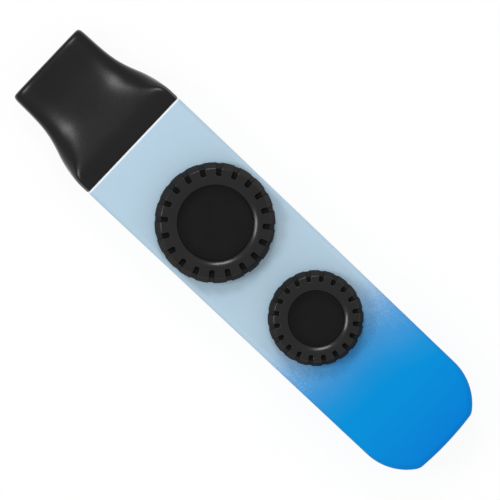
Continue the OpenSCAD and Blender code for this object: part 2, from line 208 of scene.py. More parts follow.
# Mouthpiece: rings of points, drawn out one after another from the rear face to the lips,
# back through the airway and round the tenon. A row is the distance from the lips, half
# the width, half the height, and how far the oval has turned into the body's box.
duckbill = {
    "outside": [
        (25.85, 14.07, 6.05, 1), (25.82, 14.17, 6.15, 1), (25.72, 14.2, 6.21, 1),
        (25.2, 14.21, 6.22, 1), (23.9, 14.21, 6.22, 1), (22.9, 14.18, 6.22, 1),
        (21.8, 14.1, 6.2, 0.94), (20.7, 13.93, 6.11, 0.78), (19.5, 13.69, 5.91, 0.56),
        (18.4, 13.41, 5.68, 0.39), (17.3, 13.09, 5.44, 0.26), (16.2, 12.72, 5.2, 0.16),
        (15.2, 12.32, 4.98, 0.09), (14, 11.89, 4.72, 0.04), (13, 11.58, 4.52, 0.01),
        (11.9, 11.27, 4.32, 0), (10.8, 11.02, 4.14, 0), (9.6, 10.82, 3.98, 0),
        (8.4, 10.68, 3.84, 0), (6.8, 10.56, 3.7, 0), (5, 10.49, 3.62, 0), (3.4, 10.45, 3.6, 0),
        (2, 10.42, 3.6, 0), (1.1, 10.39, 3.58, 0), (0.6, 10.29, 3.49, 0), (0.25, 10.12, 3.32, 0),
        (0.05, 9.85, 3.06, 0), (0, 9.6, 2.81, 0), (0, 9.37, 2.58, 0),
    ],
    "airway": [
        (0.06, 9.19, 2.4, 0), (0.3, 9.1, 2.31, 0), (0.9, 9.09, 2.3, 0), (3, 9.1, 2.3, 0),
        (6, 9.13, 2.31, 0), (9, 9.3, 2.38, 0), (12, 9.68, 2.56, 0.05), (15, 10.2, 2.83, 0.15),
        (18, 10.7, 3.08, 0.3), (21, 11.12, 3.28, 0.5), (24, 11.28, 3.38, 0.6),
        (27.5, 11.29, 3.39, 0.65), (31.45, 11.29, 3.39, 0.65), (31.8, 11.33, 3.43, 0.7),
        (31.95, 11.5, 3.6, 0.75),
    ],
    "tenon": [
        (31.95, 12.15, 4.2, 1), (31.87, 12.39, 4.44, 1), (31.6, 12.62, 4.67, 1),
        (31.15, 12.64, 4.69, 1), (27.3, 12.64, 4.69, 1), (26.25, 12.64, 4.69, 1),
        (25.93, 12.65, 4.7, 1), (25.85, 12.77, 4.82, 1), (25.85, 13.35, 5.4, 1),
    ],
    "lipsPower": 3.4,  # 2 is an ellipse, and higher is squarer
    "flarePower": 2.85,
    "flareStart": 5,
    "flareLength": 8,
    "bodyCorner": 1.5,
    "tenonCorner": 0.9,
    "flatShare": 0.55,  # where the point between a side's middle and its corner stands
    "cornerShare": 0.293,  # how far in the middle of a round corner lies
    "fittingRounds": 4,
    "smoothing": 2,
    "shadeAngle": 60,
}
pointsRound = 24
spokes = range(pointsRound // 4 + 1)  # from the middle of a side to the middle of the top


def crossSection(row, corner):
    along, wide, high, boxShare = row
    flare = min(1, max(0, (along - duckbill["flareStart"]) / duckbill["flareLength"]))
    power = duckbill["lipsPower"] + (duckbill["flarePower"] - duckbill["lipsPower"]) * flare
    flat, cut = duckbill["flatShare"], duckbill["cornerShare"] * corner
    box = [(wide, 0), (wide, flat * (high - corner)), (wide, high - corner),
           (wide - cut, high - cut),
           (wide - corner, high), (flat * (wide - corner), high), (0, high)]
    goal = []
    for k in spokes:
        angle = fullTurn * k / pointsRound
        ovalY = wide * abs(math.cos(angle)) ** (2 / power)
        ovalZ = high * math.sin(angle) ** (2 / power)
        goal.append((ovalY + (box[k][0] - ovalY) * boxShare,
                     ovalZ + (box[k][1] - ovalZ) * boxShare))
    drawn = list(goal)  # set outside the goal, because the smoothing draws each ring in
    for _ in range(duckbill["fittingRounds"]):
        before = [(drawn[1][0], -drawn[1][1])] + drawn[:-1]
        after = drawn[1:] + [(-drawn[-2][0], drawn[-2][1])]
        drawn = [  # a smoothed point is four sixths itself and a sixth each neighbour
            tuple(d[i] + g[i] - (b[i] + 4 * d[i] + a[i]) / 6 for i in (0, 1))
            for d, g, b, a in zip(drawn, goal, before, after)
        ]
    return [(max(0, y), max(0, z)) for y, z in drawn]


def makeMouthpiece():
    rows = [(row, duckbill["bodyCorner"]) for row in duckbill["outside"]]
    rows += [(row, duckbill["tenonCorner"]) for row in duckbill["airway"] + duckbill["tenon"]]
    along = rows[0][0][0]
    bpy.ops.object.select_all(action="DESELECT")
    bpy.ops.mesh.primitive_circle_add(
        vertices=pointsRound, radius=mm, rotation=(0, quarterTurn, 0),
        location=((lipsX + along) * mm, 0, seamZ * mm))
    piece = settle("duckbill_mouthpiece")
    bpy.ops.object.mode_set(mode="EDIT")
    mesh = bmesh.from_edit_mesh(piece.data)
    spokeTag = mesh.verts.layers.int.new("spoke")
    for point in mesh.verts:
        angle = math.atan2(abs(point.co.z - seamZ * mm), abs(point.co.y))
        point[spokeTag] = round(angle / fullTurn * pointsRound)
    bmesh.update_edit_mesh(piece.data)
    angles = [fullTurn * k / pointsRound for k in spokes]
    shown = [(math.cos(angle), math.sin(angle)) for angle in angles]
    for number, (row, corner) in enumerate(rows):
        if number:
            bpy.ops.mesh.extrude_edges_move(
                TRANSFORM_OT_translate={"value": ((row[0] - along) * mm, 0, 0)})
            along = row[0]
        mesh = bmesh.from_edit_mesh(piece.data)
        ring = [point.index for point in mesh.verts if point.select]
        wanted = crossSection(row, corner)
        for k in spokes:
            mesh = bmesh.from_edit_mesh(piece.data)
            mesh.verts.ensure_lookup_table()
            spokeTag = mesh.verts.layers.int["spoke"]
            bpy.ops.mesh.select_all(action="DESELECT")
            for index in ring:
                if mesh.verts[index][spokeTag] == k:
                    mesh.verts[index].select_set(True)
            bmesh.update_edit_mesh(piece.data)
            growY = wanted[k][0] / shown[k][0] if k < spokes[-1] else 1
            growZ = wanted[k][1] / shown[k][1] if k else 1
            bpy.ops.transform.resize(value=(1, growY, growZ),
                                     center_override=((lipsX + along) * mm, 0, seamZ * mm))
        shown = wanted
        mesh = bmesh.from_edit_mesh(piece.data)
        mesh.verts.ensure_lookup_table()
        for index in ring:
            mesh.verts[index].select_set(True)
        mesh.select_flush_mode()
        bmesh.update_edit_mesh(piece.data)
    pick("EDGE", lambda edge: edge.is_boundary)
    bpy.ops.mesh.bridge_edge_loops()
    cleanUp()
    finishEditing()
    levels = duckbill["smoothing"]
    applyModifier(piece, "SUBSURF", levels=levels, render_levels=levels)
    only(piece)
    bpy.ops.object.shade_smooth_by_angle(angle=math.radians(duckbill["shadeAngle"]))
    return piece


# Shells: the body's outline is drawn once for each step of the wall's profile, and the
# outlines are bridged. A step is how far the outline is drawn in, and its height.
shells = {
    "halfWidth": 14.2,
    "halfWidthAtTail": 13.8,
    "taperX": jointX + 6,  # the body narrows from the tenon's end to the tail
    "spare": 9,  # cut off again at the joint
    "steadyX": tailX - 13.5,
    "sideRadius": 12.6,
    "sideX": tailX - 11,
    "cornerRadius": 3,
    "bowRadius": 70,
    "bowX": tailX - 70,
    "sideSteps": 14,
    "cornerSteps": 4,
    "bowSteps": 20,
    "edgeRadius": 1.4,
    "edgeSteps": 8,
    "edgeLead": 0.5,  # where the wall's last upright step stands, below the rounded edge
    "edgeTail": 0.45,  # where the top's first flat step lies, inside the edge
    "wall": 1.5,
    "innerRadius": 0.5,
    "innerSteps": 3,
    "ceilingLead": 0.3,
    "seamSoftness": 0.14,
    "seamLead": 0.3,  # a share of the softness
    "seamHold": 3,  # times the softness, where the wall is upright again
    "seamGap": 0.015,
    "grooveInset": 0.75,
    "grooveHeight": 1.1,
    "tongueInset": 0.85,
    "tongueHeight": 1,
    "tongueSoftness": 0.1,
    "frontSoftness": 0.4,
    "frontRimBand": 0.3,  # how far inside the outline the front's rim is looked for
    "frontSeamBand": 0.1,
    "holes": [(largeX, 10.41), (smallX, 7.71)],
    "holeSides": 128,
    "holeDepth": 6,
    "pegXs": [jointX + 10.2, (largeX + largeFootR + smallX - smallFootR) / 2,
              smallX + smallFootR + 2.6],
    "pegY": 10.4,
    "pegSides": 32,
    "pegRadius": 0.8,
    "pegHeight": 2,
    "pegPlay": 0.06,
    "pegRoot": 1,  # how deep each peg starts in its boss
    "pegSoftness": 0.15,
    "bossRadius": 1.6,
    "bossSink": 0.3,
}


def drawOutline(inset, height):
    sideY = shells["halfWidthAtTail"] - shells["sideRadius"]
    sideR = shells["sideRadius"] - inset - shells["cornerRadius"]
    bowR = shells["bowRadius"] - inset - shells["cornerRadius"]
    apart = math.hypot(shells["sideX"] - shells["bowX"], sideY)
    ahead = (bowR ** 2 - sideR ** 2 + apart ** 2) / (2 * apart)
    out = math.sqrt(bowR ** 2 - ahead ** 2)
    lean = math.atan2(sideY, shells["sideX"] - shells["bowX"])
    cornerX = shells["bowX"] + ahead * math.cos(lean) - out * math.sin(lean)
    cornerY = ahead * math.sin(lean) + out * math.cos(lean)
    sideEnd = math.degrees(math.atan2(cornerY - sideY, cornerX - shells["sideX"]))
    bowEnd = math.degrees(math.atan2(cornerY, cornerX - shells["bowX"]))
    frontX = jointX - shells["spare"]
    halfFront = shells["halfWidth"] - inset
    narrower = shells["halfWidthAtTail"] - shells["halfWidth"]
    steadyShare = (shells["steadyX"] - shells["taperX"]) / (shells["sideX"] - shells["taperX"])
    straightRun = shells["taperX"] - frontX
    longRun = (shells["steadyX"] - shells["taperX"], narrower * steadyShare)
    shortRun = (shells["sideX"] - shells["steadyX"], narrower * (1 - steadyShare))
    putPoint(frontX, halfFront, height)
    drawBy(straightRun, 0, 0)
    drawBy(longRun[0], longRun[1], 0)
    drawBy(shortRun[0], shortRun[1], 0)
    swing(shells["sideX"], sideY, 90 - sideEnd, shells["sideSteps"])
    swing(cornerX, cornerY, sideEnd - bowEnd, shells["cornerSteps"])
    swing(shells["bowX"], 0, 2 * bowEnd, shells["bowSteps"])
    swing(cornerX, -cornerY, sideEnd - bowEnd, shells["cornerSteps"])
    swing(shells["sideX"], -sideY, 90 - sideEnd, shells["sideSteps"])
    drawBy(-shortRun[0], shortRun[1], 0)
    drawBy(-longRun[0], longRun[1], 0)
    drawBy(-straightRun, 0, 0)


def wallSteps(lower):
    radius, inner, wall = shells["edgeRadius"], shells["innerRadius"], shells["wall"]
    soft, gap = shells["seamSoftness"], shells["seamGap"]
    lead = soft * shells["seamLead"]
    rise = bodyTopZ - seamZ  # both shells are drawn as the upper one, and the lower is mirrored
    steps = [(soft, gap), (lead, gap + lead), (0, gap + soft), (0, gap + shells["seamHold"] * soft),
             (0, rise - radius - shells["edgeLead"])]
    for i in range(shells["edgeSteps"] + 1):
        angle = quarterTurn * i / shells["edgeSteps"]
        steps.append((radius * (1 - math.cos(angle)), rise - radius * (1 - math.sin(angle))))
    steps.append((radius + shells["edgeTail"], rise))
    top = len(steps) - 1
    steps.append((wall + inner + shells["ceilingLead"], rise - wall))
    for i in range(shells["innerSteps"] + 1):
        angle = quarterTurn * (1 - i / shells["innerSteps"])
        steps.append((wall + inner * (1 - math.cos(angle)),
                      rise - wall - inner * (1 - math.sin(angle))))
    if lower:
        tongue, foot, cut = shells["tongueInset"], -shells["tongueHeight"], shells["tongueSoftness"]
        steps += [(wall, foot + cut), (wall - cut, foot), (tongue + cut, foot),
                  (tongue, foot + cut), (tongue, gap)]
    else:
        groove = shells["grooveInset"]
        steps += [(wall, shells["grooveHeight"]), (groove, shells["grooveHeight"]), (groove, gap)]
    return steps, top


def allPegs(name, radius, low, high, soft=0):  # in pairs across the body
    bpy.ops.object.select_all(action="DESELECT")
    bpy.ops.mesh.primitive_cylinder_add(
        vertices=shells["pegSides"], radius=radius * mm, depth=(high - low) * mm,
        location=(0, 0, (low + high) / 2 * mm))
    piece = settle(name)
    if soft:
        softenEdges(piece, soft)
    bpy.ops.object.mode_set(mode="EDIT")
    first = shells["pegXs"][0]
    bpy.ops.mesh.select_all(action="SELECT")
    bpy.ops.transform.translate(value=(first * mm, -shells["pegY"] * mm, 0))
    bpy.ops.mesh.duplicate_move(TRANSFORM_OT_translate={"value": (0, 2 * shells["pegY"] * mm, 0)})
    pair = len(bmesh.from_edit_mesh(piece.data).verts)
    for x in shells["pegXs"][1:]:
        pick("VERT", lambda point: point.index < pair)
        bpy.ops.mesh.duplicate_move(TRANSFORM_OT_translate={"value": ((x - first) * mm, 0, 0)})
    finishEditing()
    return piece


vent = {  # the outlet in the tail
    "width": 10,
    "height": 4.6,
    "sides": 32,
    "startX": 50,
    "centreX": 59,
    "flare": [(9.1, 1), (0.25, 1.03), (0.3, 1.09), (0.6, 1.24), (0.6, 1.3)],  # reach and growth
    "flareAcross": 0.45,  # the share of the growth that the width takes
}


def ventCutter():
    half = vent["height"] / 2
    apart = vent["width"] / 2 - half
    bpy.ops.object.select_all(action="DESELECT")
    bpy.ops.mesh.primitive_circle_add(
        vertices=vent["sides"], radius=half * mm, rotation=(0, quarterTurn, 0),
        location=(vent["startX"] * mm, 0, seamZ * mm), fill_type="NGON")
    piece = settle("vent_cutter")
    bpy.ops.object.mode_set(mode="EDIT")
    for side in (-1, 1):
        pick("VERT", lambda point: point.co.y * side > sameWithin * mm)
        bpy.ops.transform.translate(value=(0, side * apart * mm, 0))
    bpy.ops.mesh.select_all(action="SELECT")
    centre = (vent["centreX"] * mm, 0, seamZ * mm)
    for reach, grow in vent["flare"]:
        drawBy(reach, 0, 0)
        bpy.ops.transform.resize(value=(1, 1 + (grow - 1) * vent["flareAcross"], grow),
                                 center_override=centre)
    cleanUp()
    finishEditing()
    return piece


def makeShell(name, lower):
    piece = startPiece(name)
    bpy.ops.mesh.select_mode(type="VERT")
    mesh = bmesh.from_edit_mesh(piece.data)
    mesh.verts.layers.int.new("step")
    bmesh.update_edit_mesh(piece.data)
    steps, top = wallSteps(lower)
    for number, (inset, height) in enumerate(steps, start=1):
        drawOutline(inset, seamZ + height)
        mesh = bmesh.from_edit_mesh(piece.data)
        tag = mesh.verts.layers.int["step"]
        for point in mesh.verts:
            if point[tag] == 0:
                point[tag] = number
        bmesh.update_edit_mesh(piece.data)

    def pickSteps(*numbers):
        tag = bmesh.from_edit_mesh(piece.data).verts.layers.int["step"]
        pick("VERT", lambda point: point[tag] in numbers)

    count = len(steps)
    for number in range(1, count + 1):
        if number != top + 1:  # the top and the ceiling are filled instead
            pickSteps(number, number % count + 1)
            bpy.ops.mesh.bridge_edge_loops()
    for number in (top + 1, top + 2):
        pickSteps(number)
        bpy.ops.mesh.edge_face_add()
    cleanUp()
    bpy.ops.mesh.bisect(plane_co=(jointX * mm, 0, 0), plane_no=(1, 0, 0), use_fill=True,
                        clear_inner=True)
    if lower:
        bpy.ops.mesh.select_all(action="SELECT")
        bpy.ops.transform.resize(value=(1, 1, -1), center_override=(0, 0, seamZ * mm))
        bpy.ops.mesh.normals_make_consistent(inside=False)
    reach = shells["halfWidth"] - shells["edgeRadius"]
    lift = bodyTopZ - seamZ - shells["edgeRadius"]

    def onFrontRim(edge):
        y, z = middle(edge).yz
        outward = math.hypot(max(abs(y) - reach, 0), max(abs(z - seamZ) - lift, 0))
        inFront = all(abs(point.co.x - jointX * mm) < touchWithin * mm for point in edge.verts)
        atSeam = abs(z - seamZ) < shells["frontSeamBand"]
        return inFront and not atSeam and outward > shells["edgeRadius"] - shells["frontRimBand"]

    pick("EDGE", onFrontRim)
    roundPicked(shells["frontSoftness"])
    finishEditing()
    bossR, sink, gap = shells["bossRadius"], shells["bossSink"], shells["seamGap"]
    pegR, play = shells["pegRadius"], shells["pegPlay"]
    pegFoot, pegTop = seamZ - shells["pegRoot"], seamZ + shells["pegHeight"]
    if lower:
        carve(piece, allPegs("boss_tool", bossR, shells["wall"] - sink, seamZ - gap), "UNION")
        carve(piece, allPegs("peg_tool", pegR, pegFoot, pegTop, shells["pegSoftness"]), "UNION")
    else:
        ceiling = bodyTopZ - shells["wall"]
        carve(piece, allPegs("boss_tool", bossR, seamZ + gap, ceiling + sink), "UNION")
        carve(piece, allPegs("socket_tool", pegR + play, pegFoot, pegTop + play))
        for x, radius in shells["holes"]:
            bpy.ops.object.select_all(action="DESELECT")
            bpy.ops.mesh.primitive_cylinder_add(
                vertices=shells["holeSides"], radius=radius * mm, depth=shells["holeDepth"] * mm,
                location=(x * mm, 0, bodyTopZ * mm))
            carve(piece, settle("hole_tool"))
    carve(piece, ventCutter())
    shade(piece)
    return piece


# Screw turrets, all turned on the lathe. What both share comes first.
turrets = {
    "lid": 16.7,
    "footSoftness": 0.2,
    "boreChamfer": 0.1,
    "sideHeight": 2.2,  # the upright part of a cap's side
    "rimRadius": 0.45,
    "rimFrom": 15,  # degrees above level, where the sloping side meets the rim
    "rimSteps": 4,
    "lipWidth": 1.4,
    "lipEdge": 0.04,
    "lipRadius": 0.28,
    "lipBowRadius": 3.1,
    "lipSteep": 27,  # the bow's slope in degrees, at the hole
    "lipShallow": 10,  # and at the flat top
    "lipSteps": 4,
    "lipBowSteps": 6,
    "capSteps": 120,
    "notches": 20,
    "notchDepth": 0.8,
    "notchFloorIn": 0.3,
    "notchSideDepth": 0.37,
    "notchFootDepth": 0.12,
    "notchCornerShare": 0.7,
    "notchSoftness": 0.045,
    "notchSoftenAngle": 50,
    "paintMargin": 0.2,  # how far from an edge the matt faces start
    "gripDepth": 0.25,  # and how far below the top
    "wallTilt": 0.6,
    "pitch": 1.5,
    "ridgeHeight": 0.6,
    "ridgeRoot": 0.9,
    "ridgeCrest": 0.4,
    "ridgeSink": 0.3,
    "ridgeTuck": 0.9,  # the share of its height by which a ridge's end sinks
    "ridgeSteps": 64,  # for a whole turn
    "crestReach": 0.3,  # how far from a ridge's middle line its end's crest is looked for
    "rootReach": 0.7,
    "capRidgeZ": 13.2,
    "capRidgeAngle": 134.67,
    "capRidgeTurns": 1,
    "neckRidgeZ": 13.25,
    "neckRidgeTurns": 1.25,
    "neckTop": 15.9,
    "neckChamfer": 0.2,
    "throatIn": 0.26,  # how far inside the cap's hole the throat and the gasket reach
    "seat": 14.0,
    "ceiling": 11.0,
    "flange": 1.0,
    "flangeOut": 1.2,
    "gasket": 0.5,
    "gasketSoftness": 0.12,
    "film": 0.1,
    "filmPlay": 0.12,
    "filmHold": 0.1,
    "filmSinks": [(0.97, 0.015), (0.9, 0.02), (0.75, 0.015), (0.5, 0.01), (0.25, 0.004)],
    "filmSteps": 96,
    "carrier": 0.8,
    "pressFlange": (16.05, 16.65),
    "pressFoot": 15.45,
    "holePlay": 0.05,  # of the carrier and the press ring, round the cap's hole
    "seatPlay": 0.06,  # of the gasket and the carrier, in the seat
    "slidePlay": 0.12,  # of the press ring, in the cap and in the seat
    "ringSteps": 128,
    "softness": 0.08,
}
sizes = {
    "large": {"x": largeX, "foot": 13.1, "rim": 12.14, "hole": 8.28,
              "notchReach": 1.9, "notchWidth": 1.2, "notchTurn": 3.5},
    "small": {"x": smallX, "foot": 10.4, "rim": 9.5, "hole": 6.1,
              "notchReach": 1.5, "notchWidth": 1.0, "notchTurn": 0},
}
walls = {"cap": 1.95, "thread": 0.8, "neck": 0.65}  # from the cap's side inwards
for size in sizes.values():
    size["bore"] = size["foot"] - walls["cap"]
    size["neck"] = size["bore"] - walls["thread"]
    size["seat"] = size["neck"] - walls["neck"]


def offAngle(place, angle):  # how far round the Z axis a place lies from an angle
    return abs((math.atan2(place.y, place.x) - angle + halfTurn) % fullTurn - halfTurn)


def ridge(name, root, crest, startZ, startAngle, turns):
    rootHalf, crestHalf = turrets["ridgeRoot"] / 2, turrets["ridgeCrest"] / 2
    piece = startPiece(name)
    drawLoop([(root, startZ - rootHalf), (crest, startZ - crestHalf),
              (crest, startZ + crestHalf), (root, startZ + rootHalf)])
    finishEditing()
    steps = round(turrets["ridgeSteps"] * turns)
    applyModifier(piece, "SCREW", angle=fullTurn * turns, steps=steps, render_steps=steps,
                  screw_offset=turrets["pitch"] * turns * mm)
    bpy.ops.object.mode_set(mode="EDIT")
    ends = [(fullTurn * end, startZ + turrets["pitch"] * end) for end in (0, turns)]
    for angle, z in ends:  # each end sinks into its wall
        pick("VERT", lambda point: offAngle(point.co, angle) < sameWithin
             and abs(point.co.z - z * mm) < turrets["crestReach"] * mm
             and abs(math.hypot(point.co.x, point.co.y) - crest * mm) < sameWithin * mm)
        shift = (root - crest) * turrets["ridgeTuck"] * mm
        bpy.ops.transform.translate(value=(shift * math.cos(angle), shift * math.sin(angle), 0))
    for angle, z in ends:
        pick("EDGE", lambda edge: edge.is_boundary and offAngle(middle(edge), angle) < sameWithin
             and abs(middle(edge).z - z) < turrets["rootReach"])
        bpy.ops.mesh.edge_face_add()
    bpy.ops.mesh.select_all(action="SELECT")
    bpy.ops.mesh.normals_make_consistent(inside=False)
    turnBy(-math.radians(startAngle))
    finishEditing()
    return piece


def notchTool(size):
    half, spare = size["notchWidth"] / 2, 1
    inner, outer = size["rim"] - size["notchReach"], size["foot"] + spare
    floorR, floorZ = size["rim"] - turrets["notchFloorIn"], capTopZ - turrets["notchDepth"]
    sideR = size["foot"] - turrets["notchSideDepth"]
    footR = size["foot"] - turrets["notchFootDepth"]
    highZ, lowZ = capTopZ + spare, capFootZ - spare
    tool = startPiece("notch_tool")
    drawLoop([(inner, highZ), (inner, floorZ), (floorR, floorZ),
              (sideR, capFootZ + turrets["sideHeight"]), (footR, capFootZ), (footR, lowZ),
              (outer, lowZ), (outer, highZ)])
    bpy.ops.mesh.select_all(action="SELECT")
    bpy.ops.mesh.edge_face_add()
    bpy.ops.transform.translate(value=(0, -half * mm, 0))
    drawBy(0, 2 * half, 0)

    def onInnerCorner(edge):  # an upright edge at the notch's inner end
        low, high = (point.co for point in edge.verts)
        atEnd = all(abs(place.x - inner * mm) < touchWithin * mm for place in (low, high))
        return atEnd and abs(low.z - high.z) > sameWithin * mm

    pick("EDGE", onInnerCorner)
    roundPicked(turrets["notchCornerShare"] * half)
    cleanUp()
    bpy.ops.mesh.spin(steps=turrets["notches"] - 1, dupli=True, center=(0, 0, 0), axis=(0, 0, 1),
                      angle=fullTurn * (1 - 1 / turrets["notches"]))
    turnBy(-math.radians(size["notchTurn"]))
    finishEditing()
    return tool


def lipOutline(hole):  # a shallow bow, which a small rounding ends at the hole
    rounding, bow = turrets["lipRadius"], turrets["lipBowRadius"]
    steep, shallow = 90 + turrets["lipSteep"], 90 + turrets["lipShallow"]
    roundX = hole + rounding
    bowX = roundX - (bow - rounding) * math.cos(math.radians(steep))
    endX = bowX + bow * math.cos(math.radians(shallow))
    drop = (hole + turrets["lipWidth"] - endX) * math.tan(math.radians(turrets["lipShallow"]))
    bowZ = capTopZ - drop - bow * math.sin(math.radians(shallow))
    roundZ = bowZ + (bow - rounding) * math.sin(math.radians(steep))
    bowPart = arc(bowX, bowZ, bow, shallow, steep, turrets["lipBowSteps"])
    roundPart = arc(roundX, roundZ, rounding, steep, 180, turrets["lipSteps"])
    return bowPart + roundPart[1:]


def makeCap(name, size):
    foot, hole, bore, lid = size["foot"], size["hole"], size["bore"], turrets["lid"]
    chamfer, boreChamfer = turrets["footSoftness"], turrets["boreChamfer"]
    rim, rimX = turrets["rimRadius"], size["rim"] - turrets["rimRadius"]
    flatR = hole + turrets["lipWidth"]
    outline = [(bore + boreChamfer, capFootZ), (foot - chamfer, capFootZ),
               (foot, capFootZ + chamfer), (foot, capFootZ + turrets["sideHeight"])]
    outline += arc(rimX, capTopZ - rim, rim, turrets["rimFrom"], 90, turrets["rimSteps"])
    outline += [(flatR + turrets["lipEdge"], capTopZ), (flatR, capTopZ)] + lipOutline(hole)
    outline += [(hole, lid), (bore, lid), (bore, capFootZ + boreChamfer)]
    cap = turnRing(name, outline, turrets["capSteps"])
    bpy.ops.object.mode_set(mode="EDIT")
    turnBy(halfTurn / turrets["capSteps"])  # so that no edge runs along a notch's wall
    finishEditing()
    carve(cap, notchTool(size))
    bpy.ops.object.mode_set(mode="EDIT")
    pick("VERT", lambda point: len(point.link_edges) == 2)  # stray points left on straight edges
    bpy.ops.mesh.dissolve_verts()
    finishEditing()
    softenEdges(cap, turrets["notchSoftness"], angle=turrets["notchSoftenAngle"])
    thread = ridge("cap_ridge", bore + turrets["ridgeSink"], bore - turrets["ridgeHeight"],
                   turrets["capRidgeZ"], turrets["capRidgeAngle"], turrets["capRidgeTurns"])
    carve(cap, thread, "UNION")
    putInPlace(cap, size["x"])
    margin = turrets["paintMargin"]
    for face in cap.data.polygons:  # the sides are matt, and the notches' walls and ends take painted shade, a darker copy of the plastic for the shade in those recesses
        x, y, z = face.center / mm
        r = math.hypot(x - size["x"], y)
        outside = z > lid + margin or r > bore + margin
        if outside and r > flatR + margin and z < capTopZ - turrets["gripDepth"]:
            sideways = abs(face.normal.x * y - face.normal.y * (x - size["x"])) / r
            # faces inside the notches get the painted shade, the others the matt side
            deep = r < size["rim"] - margin or sideways > turrets["wallTilt"]
            face.material_index = 2 if deep else 1
    return cap


def makeNeck(name, size):
    wall, seat, hole = size["neck"], size["seat"], size["hole"] - turrets["throatIn"]
    low, ceiling = turrets["ceiling"] - turrets["flange"], turrets["ceiling"]
    seatZ, top = turrets["seat"], turrets["neckTop"]
    flange, soft, chamfer = wall + turrets["flangeOut"], turrets["softness"], turrets["neckChamfer"]
    neck = turnRing(name, [
        (hole + soft, low), (flange - soft, low), (flange, low + soft), (flange, ceiling),
        (wall, ceiling), (wall, top - chamfer), (wall - chamfer, top), (seat + soft, top),
        (seat, top - soft), (seat, seatZ), (hole + soft, seatZ), (hole, seatZ - soft),
        (hole, low + soft),
    ], turrets["ringSteps"])
    thread = ridge("neck_ridge", wall - turrets["ridgeSink"], wall + turrets["ridgeHeight"],
                   turrets["neckRidgeZ"], 0, turrets["neckRidgeTurns"])
    carve(neck, thread, "UNION")
    return putInPlace(neck, size["x"])


def washer(name, x, low, high, inner, outer, soft):
    ring = turnRing(name, [
        (inner + soft, low), (outer - soft, low), (outer, low + soft), (outer, high - soft),
        (outer - soft, high), (inner + soft, high), (inner, high - soft), (inner, low + soft),
    ], turrets["ringSteps"])
    return putInPlace(ring, x)


def makePressRing(name, size):
    soft, play, foot = turrets["softness"], turrets["slidePlay"], turrets["pressFoot"]
    inner = size["hole"] + turrets["holePlay"]
    outer, boss = size["bore"] - play, size["seat"] - play
    low, high = turrets["pressFlange"]
    ring = turnRing(name, [
        (inner + soft, foot), (boss - soft, foot), (boss, foot + soft), (boss, low),
        (outer - soft, low), (outer, low + soft), (outer, high - soft), (outer - soft, high),
        (inner + soft, high), (inner, high - soft), (inner, foot + soft),
    ], turrets["ringSteps"])
    return putInPlace(ring, size["x"])


def makeFilm(name, size):
    radius = size["seat"] - turrets["filmPlay"]
    low = turrets["seat"] + turrets["gasket"]
    high = low + turrets["film"]
    bpy.ops.object.select_all(action="DESELECT")
    bpy.ops.mesh.primitive_circle_add(vertices=turrets["filmSteps"], radius=radius * mm,
                                      fill_type="NGON", location=(0, 0, low * mm))
    film = settle(name)
    bpy.ops.object.mode_set(mode="EDIT")
    bpy.ops.mesh.select_all(action="SELECT")
    drawBy(0, 0, high - low)
    held = size["hole"] - turrets["filmHold"]
    bpy.ops.mesh.inset(thickness=(radius - held) * mm, depth=0)
    before = held
    for share, sink in turrets["filmSinks"]:  # inside the carrier, the film sinks a little
        bpy.ops.mesh.inset(thickness=(before - held * share) * mm, depth=-sink * mm)
        before = held * share
    bpy.ops.mesh.poke()
    cleanUp()
    finishEditing()
    return putInPlace(film, size["x"])


# Shader maths: a Wire is one socket, and sums on it add Math nodes.

class Wire:
    def __init__(self, finish, socket):
        self.finish, self.socket = finish, socket

    def maths(self, operation, first, second):
        return self.finish.node("ShaderNodeMath", {"operation": operation}, {0: first, 1: second})

    def __add__(self, other):
        return self.maths("ADD", self, other)

    def __radd__(self, other):
        return self.maths("ADD", other, self)

    def __sub__(self, other):
        return self.maths("SUBTRACT", self, other)

    def __rsub__(self, other):
        return self.maths("SUBTRACT", other, self)

    def __mul__(self, other):
        return self.maths("MULTIPLY", self, other)

    def __rmul__(self, other):
        return self.maths("MULTIPLY", other, self)

    def __truediv__(self, other):
        return self.maths("DIVIDE", self, other)

    def __rtruediv__(self, other):
        return self.maths("DIVIDE", other, self)


class Finish:
    def __init__(self, owner):  # a material or a world
        owner.use_nodes = True
        self.owner, self.tree = owner, owner.node_tree
        self.tree.nodes.clear()

    def node(self, kind, settings, values, result=0):
        made = self.tree.nodes.new(kind)
        for key, value in settings.items():
            if key == "stops":
                while len(made.color_ramp.elements) < len(value):
                    made.color_ramp.elements.new(0.5)
                for stop, (place, colour) in zip(made.color_ramp.elements, value):
                    stop.position = place
                    stop.color = colour
            else:
                setattr(made, key, value)
        for key, value in values.items():
            if isinstance(value, Wire):
                self.tree.links.new(value.socket, made.inputs[key])
            else:
                made.inputs[key].default_value = value
        return Wire(self, made.outputs[result]) if len(made.outputs) else None

    def place(self):  # object coordinates in millimetres
        spot = self.node("ShaderNodeTexCoord", {}, {}, "Object")
        return self.node("ShaderNodeVectorMath", {"operation": "SCALE"}, {0: spot, "Scale": 1 / mm})

    def clamp(self, wire):
        return self.node("ShaderNodeMath", {"operation": "MULTIPLY", "use_clamp": True},
                         {0: wire, 1: 1.0})

    def noise(self, place, size, detail=2.0, roughness=0.55):
        values = {"Vector": place, "Scale": 1 / size, "Detail": detail, "Roughness": roughness}
        return self.node("ShaderNodeTexNoise", {"noise_dimensions": "3D"}, values, "Fac")

    def vary(self, noise, reach):  # a noise as a shift to both sides of nothing
        return (noise - 0.5) * reach

    def mix(self, share, first, second):
        return self.node("ShaderNodeMix", {"data_type": "RGBA"}, {0: share, 6: first, 7: second}, 2)

    def bump(self, height, reach, strength=1.0):
        return self.node("ShaderNodeBump", {},
                         {"Height": height, "Distance": reach * mm, "Strength": strength})

    def close(self, values):
        surface = self.node("ShaderNodeBsdfPrincipled", {}, values)
        self.node("ShaderNodeOutputMaterial", {}, {"Surface": surface})
        return self.owner


